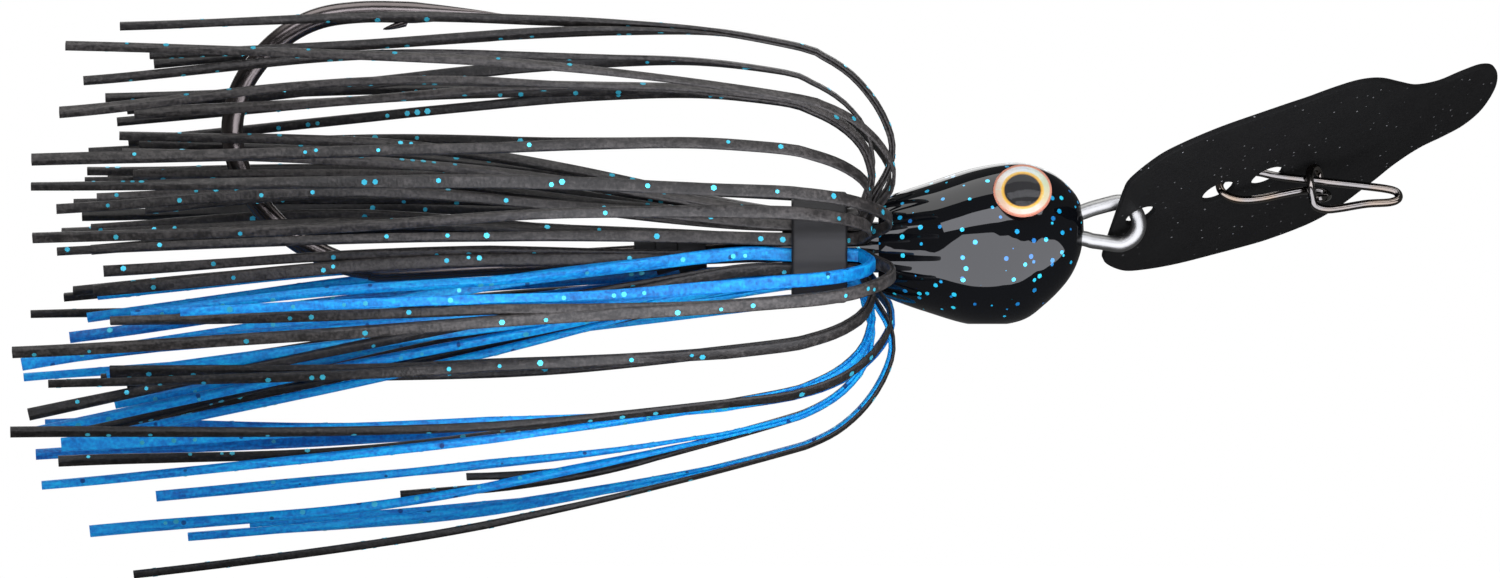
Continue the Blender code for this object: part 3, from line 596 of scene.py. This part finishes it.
def lens_dome(reach):
    """A cap of a sphere with a flat underside."""
    sphere = (reach**2 + DOME_HIGH**2) / (2 * DOME_HIGH)
    edge = math.asin(reach / sphere)
    rings = []
    for row in range(DOME_ROWS):
        angle = edge * (1 - row / DOME_ROWS)
        z = DOME_BASE + DOME_HIGH - sphere * (1 - math.cos(angle))
        r = sphere * math.sin(angle)
        rings.append([(r * math.cos(a), r * math.sin(a), z) for a in turns(EYE_AROUND)])
    return lofted(rings, tip=(0, 0, DOME_BASE + DOME_HIGH))


def make_eye(side, materials):
    """The foil and the lens. Returns the socket's shape, to be cut out of the head."""
    axes, radius = eye_axes(side)
    foil, dome = foil_disc(radius), lens_dome(radius - 0.02)
    for bm in (foil, dome):
        bmesh.ops.transform(bm, matrix=axes, verts=bm.verts)
    piece(side + "_eye_print", foil, materials["eye_foil"], JIG, side + "_eye_foil")
    piece(side + "_eye_dome", dome, materials["eye_lens"], JIG, side + "_eye_lens")
    wide = radius + SOCKET_GAP
    place = axes @ Matrix.Translation((0, 0, SOCKET_LONG / 2 - SOCKET_DEEP))
    return piece(side + "_socket", rod(wide, SOCKET_LONG, EYE_AROUND, place))


def make_head(materials):
    """The cast body with its tail, a flat belly at Z 0 and two eye sockets."""
    nose_x, nose_z = HEAD_SECTIONS[-1][0]
    head = piece("lacquered_head", lofted(head_rings(), tip=(nose_x, 0, nose_z)))
    long = TAIL_FROM_X - TAIL_END_X
    middle = Matrix.Translation((TAIL_END_X + long / 2, 0, SHANK_Z))
    tail = rod(TAIL_R, long, 64, middle @ Matrix.Rotation(math.radians(90), 4, "Y"))
    cut(head, piece("tail", tail), "UNION")
    below = bmesh.new()
    bmesh.ops.create_cube(below, size=20, matrix=Matrix.Translation((0, 0, -10)))
    cut(head, piece("flat", below))
    for side in ("right", "left"):
        cut(head, make_eye(side, materials))
    finished(head, materials["head_paint"], JIG, "head", 35)


# Wires


def hook_path():
    """From the eye ring inside the head, along the shank and round the bend to the point."""
    eye = []
    for step in range(HOOK_EYE_STEPS + 1):
        a = math.radians(HOOK_EYE_FROM - step * HOOK_EYE_SWEEP / HOOK_EYE_STEPS)
        eye.append((HOOK_EYE_X + HOOK_EYE_R * math.cos(a), HOOK_EYE_R * math.sin(a), SHANK_Z))
    front = smooth_path([*eye, (-2.7, -0.1, SHANK_Z), (-5.0, 0.0, SHANK_Z)], HOOK_STEP)
    tail = [Vector((x, 0.0, SHANK_Z)) for x in (TAIL_END_X + 0.6, TAIL_END_X)]
    return front + tail + smooth_path([(x, 0.0, z) for x, z in HOOK_BEND], HOOK_STEP)


def barb():
    start, end = (Vector((x, 0, z)) for x, z in (BARB_FROM, BARB_TO))
    rings = []
    for share in np.linspace(0, 1, 9):
        r = BARB_R * (1 - share) ** 0.7 + 0.05
        point = start.lerp(end, share) + Vector((0, 0, 0.15 * share * share))
        rings.append([point + Vector((0.5 * math.sin(a), 0.75 * math.cos(a), math.sin(a))) * r
                      for a in turns(20)])
    return lofted(rings)


def make_hook(materials):
    """A wire that tapers over its last length to the point."""
    path = hook_path()
    left = [0.0]
    for a, b in zip(path[::-1], path[-2::-1]):
        left.append(left[-1] + (a - b).length)
    radii = [HOOK_WIRE / 2 * max(0.05, min(1.0, length / POINT_LENGTH) ** 0.8) for length in left[::-1]]
    hook = piece("plated_hook", swept(path, radii, WIRE_AROUND))
    cut(hook, piece("barb", barb()), "UNION")
    finished(hook, materials["hook_nickel"], JIG, "hook", 40)


def make_loop(materials):
    """A wire through the hook's eye, out of the nose, round and back into the head."""
    x = HOOK_EYE_X
    start = [(x - 0.1, 0, 7.9), (x, 0, 6.9), (x, 0, 5.2), (x + 0.5, 0, 4.25), (x + 1.6, 0, 4.0),
             (x + 3.6, 0, 4.7)]
    low = [(7.0, 0, LOOP_Z - LOOP_LEGS / 2 - 0.45), (8.4, 0, LOOP_Z - LOOP_LEGS / 2 - 0.55)]
    bow = [(LOOP_X + LOOP_R * math.cos(a), 0, LOOP_Z + LOOP_R * math.sin(a))
           for a in (math.radians(-90 + 15 * step) for step in range(13))]
    high = [(8.4, 0, LOOP_Z + LOOP_LEGS / 2 + 0.35), (7.0, 0, LOOP_Z + LOOP_LEGS / 2 - 0.1),
            (5.2, 0, LOOP_Z + 0.55), (3.0, 0, LOOP_Z + 0.5)]
    path = smooth_path(start + low + bow + high, LOOP_STEP)
    wire = swept(path, [LOOP_WIRE / 2] * len(path), WIRE_AROUND)
    piece("steel_loop", wire, materials["wire_steel"], JIG, "nose_loop")


def blade_axes():
    """The blade's own axes at the centre of its tip hole: along, across, and out of its lower side."""
    out = BLADE_ALONG.cross(BLADE_ACROSS_HINT).normalized()
    axes = Matrix((BLADE_ALONG, out.cross(BLADE_ALONG), out)).transposed().to_4x4()
    angle = math.radians(WIRE_ANGLE)
    reach = LOOP_R + HOLE_AHEAD
    axes.translation = (LOOP_X + reach * math.cos(angle), 0, LOOP_Z + reach * math.sin(angle))
    return axes


def make_clasp(materials):
    path = smooth_path(CLASP_PATH, CLASP_STEP)
    bm = swept(path, rounded_ends(len(path), CLASP_WIRE / 2, CLASP_STEP), 20)
    bmesh.ops.transform(bm, matrix=blade_axes(), verts=bm.verts)
    piece("spring_clasp", bm, materials["clasp_nickel"], CLASP, "line_clasp")


def bent(point, at, angle):
    """The point of the flat blade after what lies past a place is bent away from the lower side."""
    start = at - BEND_LONG / 2
    past = point.x - start
    if past <= 0:
        return point
    radius = BEND_LONG / angle
    turn = min(past / radius, angle)
    on_arc = Vector((start + radius * math.sin(turn), point.y, -radius * (1 - math.cos(turn))))
    beyond = past - turn * radius
    ahead = Vector((math.cos(turn), 0, -math.sin(turn)))
    outward = Vector((math.sin(turn), 0, math.cos(turn)))
    return on_arc + beyond * ahead + point.z * outward


def blade_loops():
    """The blade's outline and its three holes, as rows of (along, across)."""
    half = [(x, y, 0) for x, y in BLADE_HALF]
    mirrored = (BLADE_HALF[-1][0], -BLADE_HALF[-1][1], 0)  # the nose is square to the blade's own line
    side = smooth_path([*half, (BLADE_NOSE, 0, 0), mirrored], OUTLINE_STEP)
    side = [p for p in side if p.y > 0.02]
    yield [(p.x, p.y) for p in side] + [(BLADE_NOSE, 0.0)] + [(p.x, -p.y) for p in side[::-1]]
    for centre, radius in ((0.0, TIP_HOLE_R), *((x, CLASP_HOLE_R) for x in CLASP_HOLES)):
        yield [(centre + radius * math.cos(a), radius * math.sin(a)) for a in turns(HOLE_AROUND)]


def make_blade(materials):
    """A stamped plate with tumbled edges, bent in two places."""
    curve = bpy.data.curves.new("blade", "CURVE")
    curve.dimensions, curve.fill_mode = "2D", "BOTH"
    curve.extrude = BLADE_THICK / 2 - BLADE_EDGE
    curve.bevel_depth, curve.bevel_resolution, curve.offset = BLADE_EDGE, 3, -BLADE_EDGE
    for points in blade_loops():
        spline = curve.splines.new("POLY")
        spline.points.add(len(points) - 1)
        for point, (x, y) in zip(spline.points, points):
            point.co = (x, y, 0, 1)
        spline.use_cyclic_u = True
    guide = bpy.data.objects.new("blade_guide", curve)
    bpy.context.scene.collection.objects.link(guide)
    bpy.context.view_layer.update()
    bm = bmesh.new()
    bm.from_mesh(bpy.data.meshes.new_from_object(guide.evaluated_get(bpy.context.evaluated_depsgraph_get())))
    bpy.data.objects.remove(guide)
    bmesh.ops.remove_doubles(bm, verts=bm.verts, dist=1e-4)
    for at, _ in BENDS:
        for cut_at in np.linspace(at - BEND_LONG / 2, at + BEND_LONG / 2, BEND_CUTS):
            geometry = [*bm.verts, *bm.edges, *bm.faces]
            bmesh.ops.bisect_plane(bm, geom=geometry, plane_co=(cut_at, 0, 0), plane_no=(1, 0, 0))
    for vert in bm.verts:
        for at, degrees in reversed(BENDS):
            vert.co = bent(vert.co, at, math.radians(degrees))
    bmesh.ops.transform(bm, matrix=blade_axes(), verts=bm.verts)
    blade = piece("coated_blade", bm, materials["blade_black"], BLADE, "blade", sharp=60)
    blade.modifiers.new("flat_faces", "WEIGHTED_NORMAL").keep_sharp = True


# Collar and keeper


def rounded_profile(low, high, inner, outer, edge):
    """A ring's section with round outer edges, from the inner rear corner round to the inner front one."""
    arcs = [(high - edge + edge * math.sin(a), outer - edge + edge * math.cos(a))
            for a in (math.radians(90 - 15 * i) for i in range(7))]
    back = [(low + edge - edge * math.sin(a), outer - edge + edge * math.cos(a))
            for a in (math.radians(15 * i) for i in range(7))]
    middle = [(x, outer + 0.05 * math.sin(math.pi * (x - low) / (high - low)))
              for x in np.linspace(high - edge, low + edge, 9)[1:-1]]
    return [(low, inner), (high, inner), *arcs, *middle, *back]


def make_collar(materials):
    """The rubber tube, pressed out a little over each strand of the outer ring under it."""
    low, high = (corner.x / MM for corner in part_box("skirt_collar"))
    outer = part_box("skirt_collar")[1].y / MM - COLLAR_INSET
    lobes = sum(name >= "skirt_strand_13" for name in STRANDS)

    def swell(angle):
        return COLLAR_SWELL * math.cos(lobes * angle + math.pi)

    profile = rounded_profile(low, high, outer - COLLAR_WALL, outer, COLLAR_EDGE)
    bm = turned(profile, COLLAR_AROUND, swell=swell)
    piece("rubber_collar", bm, materials["collar_rubber"], JIG, "skirt_collar")


def make_keeper(materials):
    """A sleeve with two barbs, set along the shank's slope."""
    low, high, bore, outer, barb, step = -2.75, 2.75, 0.92, 1.25, 1.6, 1.7
    profile = [(low, bore), (high, bore), (high, outer - 0.08), (high - 0.08, outer)]
    for k in (2, 1):
        at = low + k * step
        profile += [(at + 0.06, barb - 0.02), (at, barb - 0.03), (at - 0.05, barb - 0.12), (at - 0.08, outer)]
    profile += [(low + 0.08, outer), (low, outer - 0.08)]
    rise = (HOOK_BEND[0][1] - HOOK_BEND[1][1]) / (HOOK_BEND[0][0] - HOOK_BEND[1][0])
    x = (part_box("trailer_keeper")[0].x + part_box("trailer_keeper")[1].x) / 2 / MM
    centre = (x, 0, HOOK_BEND[0][1] + rise * (x - HOOK_BEND[0][0]))
    bm = turned(profile, 64, tilt=-math.atan(rise), centre=centre)
    piece("barbed_keeper", bm, materials["keeper_sleeve"], JIG, "trailer_keeper")


# Skirt


def flat_groups(bm):
    """Groups of faces that lie in one plane and touch."""
    left = set(bm.faces)
    while left:
        group = [left.pop()]
        for face in group:
            for edge in face.edges:
                for other in edge.link_faces:
                    if other in left and other.normal.dot(face.normal) > 0.99999:
                        left.discard(other)
                        group.append(other)
        yield group


def strand_sections(node):
    """The CAD strand's sections in order from one tip to the other: (centre, direction of its width)."""
    bm = bmesh.new()
    bm.from_mesh(frame["nodes"][node].data)
    bmesh.ops.remove_doubles(bm, verts=bm.verts, dist=2e-7)
    bmesh.ops.scale(bm, vec=(1 / MM,) * 3, verts=bm.verts)
    bm.normal_update()
    bm.verts.index_update()
    ends = []
    for group in flat_groups(bm):
        corners = {v for face in group for v in face.verts}
        middle = sum((v.co for v in corners), Vector()) / len(corners)
        near = max((v.co - middle).length for v in corners) < CAP_REACH
        if len(corners) == 4 and near and middle.x < TIPS_BEHIND:
            ends.append((middle, corners))
    ends.sort(key=lambda end: (end[0] - Vector((end[0].x, 0, SHANK_Z))).length)
    ring = ends[0][1]
    seen, sections, wide = set(ring), [], None
    while ring:
        points = np.array([v.co for v in sorted(ring, key=lambda v: v.index)])
        centre = points.mean(axis=0)
        along = Vector(np.linalg.svd(points - centre)[2][0])
        wide = -along if wide is not None and along.dot(wide) < 0 else along
        sections.append((Vector(centre), wide))
        ring = {edge.other_vert(v) for v in ring for edge in v.link_edges} - seen
        seen |= ring
    bm.free()
    return sections


def wave(count, knots, size):
    """A smooth random line of count values, through this many random knots."""
    values = rng.uniform(-size, size, knots + 3)
    where = np.linspace(1, knots, count)
    k = where.astype(int)
    t = where - k
    a, b, c, d = (values[k + shift] for shift in (-1, 0, 1, 2))
    return 0.5 * (2 * b + (c - a) * t + (2 * a - 5 * b + 4 * c - d) * t**2 + (3 * b - a - 3 * c + d) * t**3)


def strand_section(width, thick):
    """A rectangle with rounded corners, as (across, through)."""
    points = []
    for sx, sy, start in ((1, 1, 0), (-1, 1, 90), (-1, -1, 180), (1, -1, 270)):
        for turn in (0, 45, 90):
            a = math.radians(start + turn)
            x = sx * (width / 2 - EDGE_ROUND) + EDGE_ROUND * math.cos(a)
            y = sy * (thick / 2 - EDGE_ROUND) + EDGE_ROUND * math.sin(a)
            points.append((x, y))
    return points


def add_flake(bm, centre, along, across, normal, radius):
    """A thin hexagonal plate lying on the strand's face."""
    turn = rng.uniform(0, math.pi / 3)
    corners = [radius * (along * math.cos(turn + a) + across * math.sin(turn + a)) for a in turns(6)]
    low, high = ([bm.verts.new(centre + normal * lift + corner) for corner in corners]
                 for lift in (-FLAKE_SUNK, FLAKE_PROUD))
    faces = [bm.faces.new(low[::-1]), bm.faces.new(high)]
    faces += [bm.faces.new((low[k], low[k - 5], high[k - 5], high[k])) for k in range(6)]
    for face in faces:
        face.material_index = 1
        face.smooth = False


def strand_line(node):
    """The strand's centre line and a line two widths beside it, as equally long rows of points."""
    sections = strand_sections(node)
    lines = [smooth_path([centre for centre, _ in sections], STRAND_STEP),
             smooth_path([centre + wide * 2 for centre, wide in sections], STRAND_STEP)]
    share = np.linspace(0, 1, min(len(line) for line in lines))
    return [[at_share(line, s) for s in share] for line in lines]


def ribbon_axes(path, guide, twin, widths):
    """The sections of one ribbon: centre, ahead, across, through, width and thickness.

    It fills its half of the strand in the collar, and is a little shorter than the strand at both ends.
    """
    count = len(path)
    free = [min(1.0, max(0.0, (FREE_FROM - p.x) / FREE_OVER)) for p in path]
    fan = [min(1.0, max(0.0, (FREE_FROM - p.x) / FAN_OVER)) for p in path]
    shift_y, shift_z = wave(count, SWAY_KNOTS, SWAY), wave(count, SWAY_KNOTS, SWAY)
    width = rng.uniform(*widths) + wave(count, WIDTH_KNOTS, WIDTH_WANDER)
    spin = wave(count, SPIN_KNOTS, SPIN)
    heading = rng.uniform(-FAN_TURN, FAN_TURN) * math.pi
    spread = rng.uniform(*TWIN_FAN) * twin * Vector((0, math.sin(heading), math.cos(heading)))
    if max(point.z for point in path) > HIGH_Z:
        spread.z = -abs(spread.z)
    axes = []
    for i, point in enumerate(path):
        ahead = (path[min(i + 1, count - 1)] - path[max(i - 1, 0)]).normalized()
        wide = guide[i] - point
        wide = (wide - ahead * wide.dot(ahead)).normalized()
        wide = Matrix.Rotation(spin[i] * free[i], 3, ahead) @ wide
        thin = ahead.cross(wide)
        centre = point + Vector((0, shift_y[i], shift_z[i])) * free[i]
        centre += thin * (twin - 0.5) * 2 * TWIN_LIFT * (1 - free[i]) + spread * fan[i]
        grown = 1.0 + (width[i] - 1.0) * free[i]
        thick = 2 * TWIN_LIFT + (STRAND_THICK - 2 * TWIN_LIFT) * free[i]
        axes.append((centre, ahead, wide, thin, grown, thick))
    trim = [int(rng.uniform(0, TWIN_TRIM) * twin / STRAND_STEP) for _ in range(2)]
    return axes[1 + trim[0]:count - 1 - trim[1]]


def add_ribbon(bm, uv, axes):
    rows = []
    for centre, _, wide, thin, grown, thick in axes:
        rows.append([bm.verts.new(centre + wide * x + thin * y) for x, y in strand_section(grown, thick)])
    around = len(rows[0])
    for i, (near, far) in enumerate(zip(rows, rows[1:])):
        for k in range(around):
            j = (k + 1) % around
            face = bm.faces.new((near[k], near[j], far[j], far[k]))
            for loop, (u, v) in zip(face.loops, ((k, i), (k + 1, i), (k + 1, i + 1), (k, i + 1))):
                loop[uv].uv = (u / around, v * STRAND_STEP)
    bm.faces.new(rows[0])
    bm.faces.new(rows[-1])


def sprinkle(bm, axes):
    """Flakes here and there on both faces of a ribbon's free length."""
    steps = FLAKE_EVERY / STRAND_STEP
    for side in (-1, 1):
        at = rng.uniform(1, steps)
        while at < len(axes) - 2:
            centre, ahead, wide, thin, grown, thick = axes[int(at)]
            radius = rng.uniform(*FLAKE_R)
            offset = rng.uniform(-1, 1) * max(0.0, grown / 2 - EDGE_ROUND - radius)
            add_flake(bm, centre + wide * offset + thin * side * thick / 2, ahead, wide, thin * side, radius)
            at += rng.exponential(steps) + 0.8


def make_strand(node, materials):
    """The strand as a ribbon, or as two that share its place in the collar and part towards their tips."""
    path, guide = strand_line(node)
    bm = bmesh.new()
    uv = bm.loops.layers.uv.new("strand")
    paired = SLOTS[node] == "skirt_blue" or int(node[-2:]) % TWIN_EVERY == 0
    twins = (0, 1) if paired else (0,)
    ribbons = [ribbon_axes(path, guide, twin, STRAND_WIDTHS[SLOTS[node]]) for twin in twins]
    for axes in ribbons:
        add_ribbon(bm, uv, axes)
    for face in bm.faces:
        face.smooth = True
    bmesh.ops.recalc_face_normals(bm, faces=bm.faces)
    for axes in ribbons:
        sprinkle(bm, axes)
    obj = piece(node.replace("skirt_", "silicone_"), bm, materials[SLOTS[node]], JIG, node, sharp=50)
    obj.data.materials.append(materials["flake"])


# Stage


def floor_paint():
    """Matt and pale under the lure, fading into the white all round."""
    n = Nodes("pale_floor")
    away = n.add("ShaderNodeVectorMath", {"operation": "LENGTH"})
    n.put(away, "0", n.place)
    near, far = (distance * MM for distance in FLOOR_FADE)
    fade = n.add("ShaderNodeMapRange", {"interpolation_type": "SMOOTHSTEP"}, Value=away.outputs["Value"],
                 From_Min=near, From_Max=far)
    n.set(Base_Color=n.mix(n.noise(60, 2.0), (0.80, 0.80, 0.80), (0.84, 0.84, 0.84)), Roughness=0.9)
    n.set(Specular_IOR_Level=0.0)
    white = n.add("ShaderNodeEmission", Strength=1.0)
    n.surface(fade.outputs[0], n.shader.outputs[0], white.outputs[0])
    return n.material


def make_stage():
    """A round floor, which mirrors don't show, so that the gloss black stays dark."""
    disc = bmesh.new()
    bmesh.ops.create_circle(disc, cap_ends=True, segments=96, radius=FLOOR_R)
    floor = piece("floor", disc, floor_paint())
    middle = (cad_low + cad_high) / 2
    floor.location = (middle.x, middle.y, cad_low.z - FLOOR_GAP * MM)
    floor.visible_glossy = False


def make_world():
    """White for the camera, soft fill for matt surfaces, and dim in reflections."""
    world = bpy.data.worlds.new("studio")
    bpy.context.scene.world = world
    world.use_nodes = True
    tree = world.node_tree
    path = tree.nodes.new("ShaderNodeLightPath")
    level = FILL
    for ray, value in (("Is Glossy Ray", REFLECTED_FILL), ("Is Camera Ray", 1.0)):
        mix = tree.nodes.new("ShaderNodeMix")
        mix.inputs["B"].default_value = value
        if isinstance(level, float):
            mix.inputs["A"].default_value = level
        else:
            tree.links.new(level, mix.inputs["A"])
        tree.links.new(path.outputs[ray], mix.inputs["Factor"])
        level = mix.outputs["Result"]
    shade = tree.nodes["Background"]
    shade.inputs["Color"].default_value = (1, 1, 1, 1)
    tree.links.new(level, shade.inputs["Strength"])


def softbox(name, place, aim, size, radiance, colour=(1, 1, 1)):
    """A rectangular light, with its size in millimetres. It lights and reflects but isn't seen itself."""
    light = bpy.data.lights.new(name, "AREA")
    light.shape = "RECTANGLE"
    light.color = colour
    light.size, light.size_y = size[0] * MM, size[1] * MM
    light.energy = radiance * math.pi * light.size * light.size_y
    obj = bpy.data.objects.new(name, light)
    bpy.context.scene.collection.objects.link(obj)
    obj.location = Vector(place) * MM
    obj.rotation_mode = "QUATERNION"
    obj.rotation_quaternion = (Vector(aim) - Vector(place)).to_track_quat("-Z", "Y")
    obj.visible_camera = False


def make_lights():
    """Two boxes in front, which the head's lacquer mirrors as two bands, and weaker light elsewhere."""
    head = (0, 0, 6)
    softbox("front_high", (22, -137, 107), head, (290, 56), 4.2, COOL)
    softbox("front_low", (28, -100, 21.5), (28, -55.6, 111.4), (140, 178), 3.6, COOL)
    softbox("top_box", (-20, -10, 210), (-20, -10, 0), (320, 150), 2.2)
    softbox("back_box", (-40, 240, 120), (-20, 0, 0), (260, 120), 2.0)


def make_camera():
    """Side on and far off."""
    data = bpy.data.cameras.new("camera")
    data.sensor_width, data.lens = SENSOR, LENS
    away = VIEW_WIDE * LENS / SENSOR
    data.clip_start, data.clip_end = 0.1, 20.0
    camera = bpy.data.objects.new("camera", data)
    bpy.context.scene.collection.objects.link(camera)
    camera.location = Vector((VIEW_X, -away, VIEW_Z)) * MM
    camera.rotation_euler = (math.radians(90), 0, 0)
    bpy.context.scene.camera = camera


materials = make_materials()
make_head(materials)
make_hook(materials)
make_loop(materials)
make_blade(materials)
make_clasp(materials)
make_collar(materials)
make_keeper(materials)
for strand in STRANDS:
    make_strand(strand, materials)
make_stage()
make_world()
make_lights()
make_camera()
bpy.context.scene.view_settings.view_transform = "Standard"
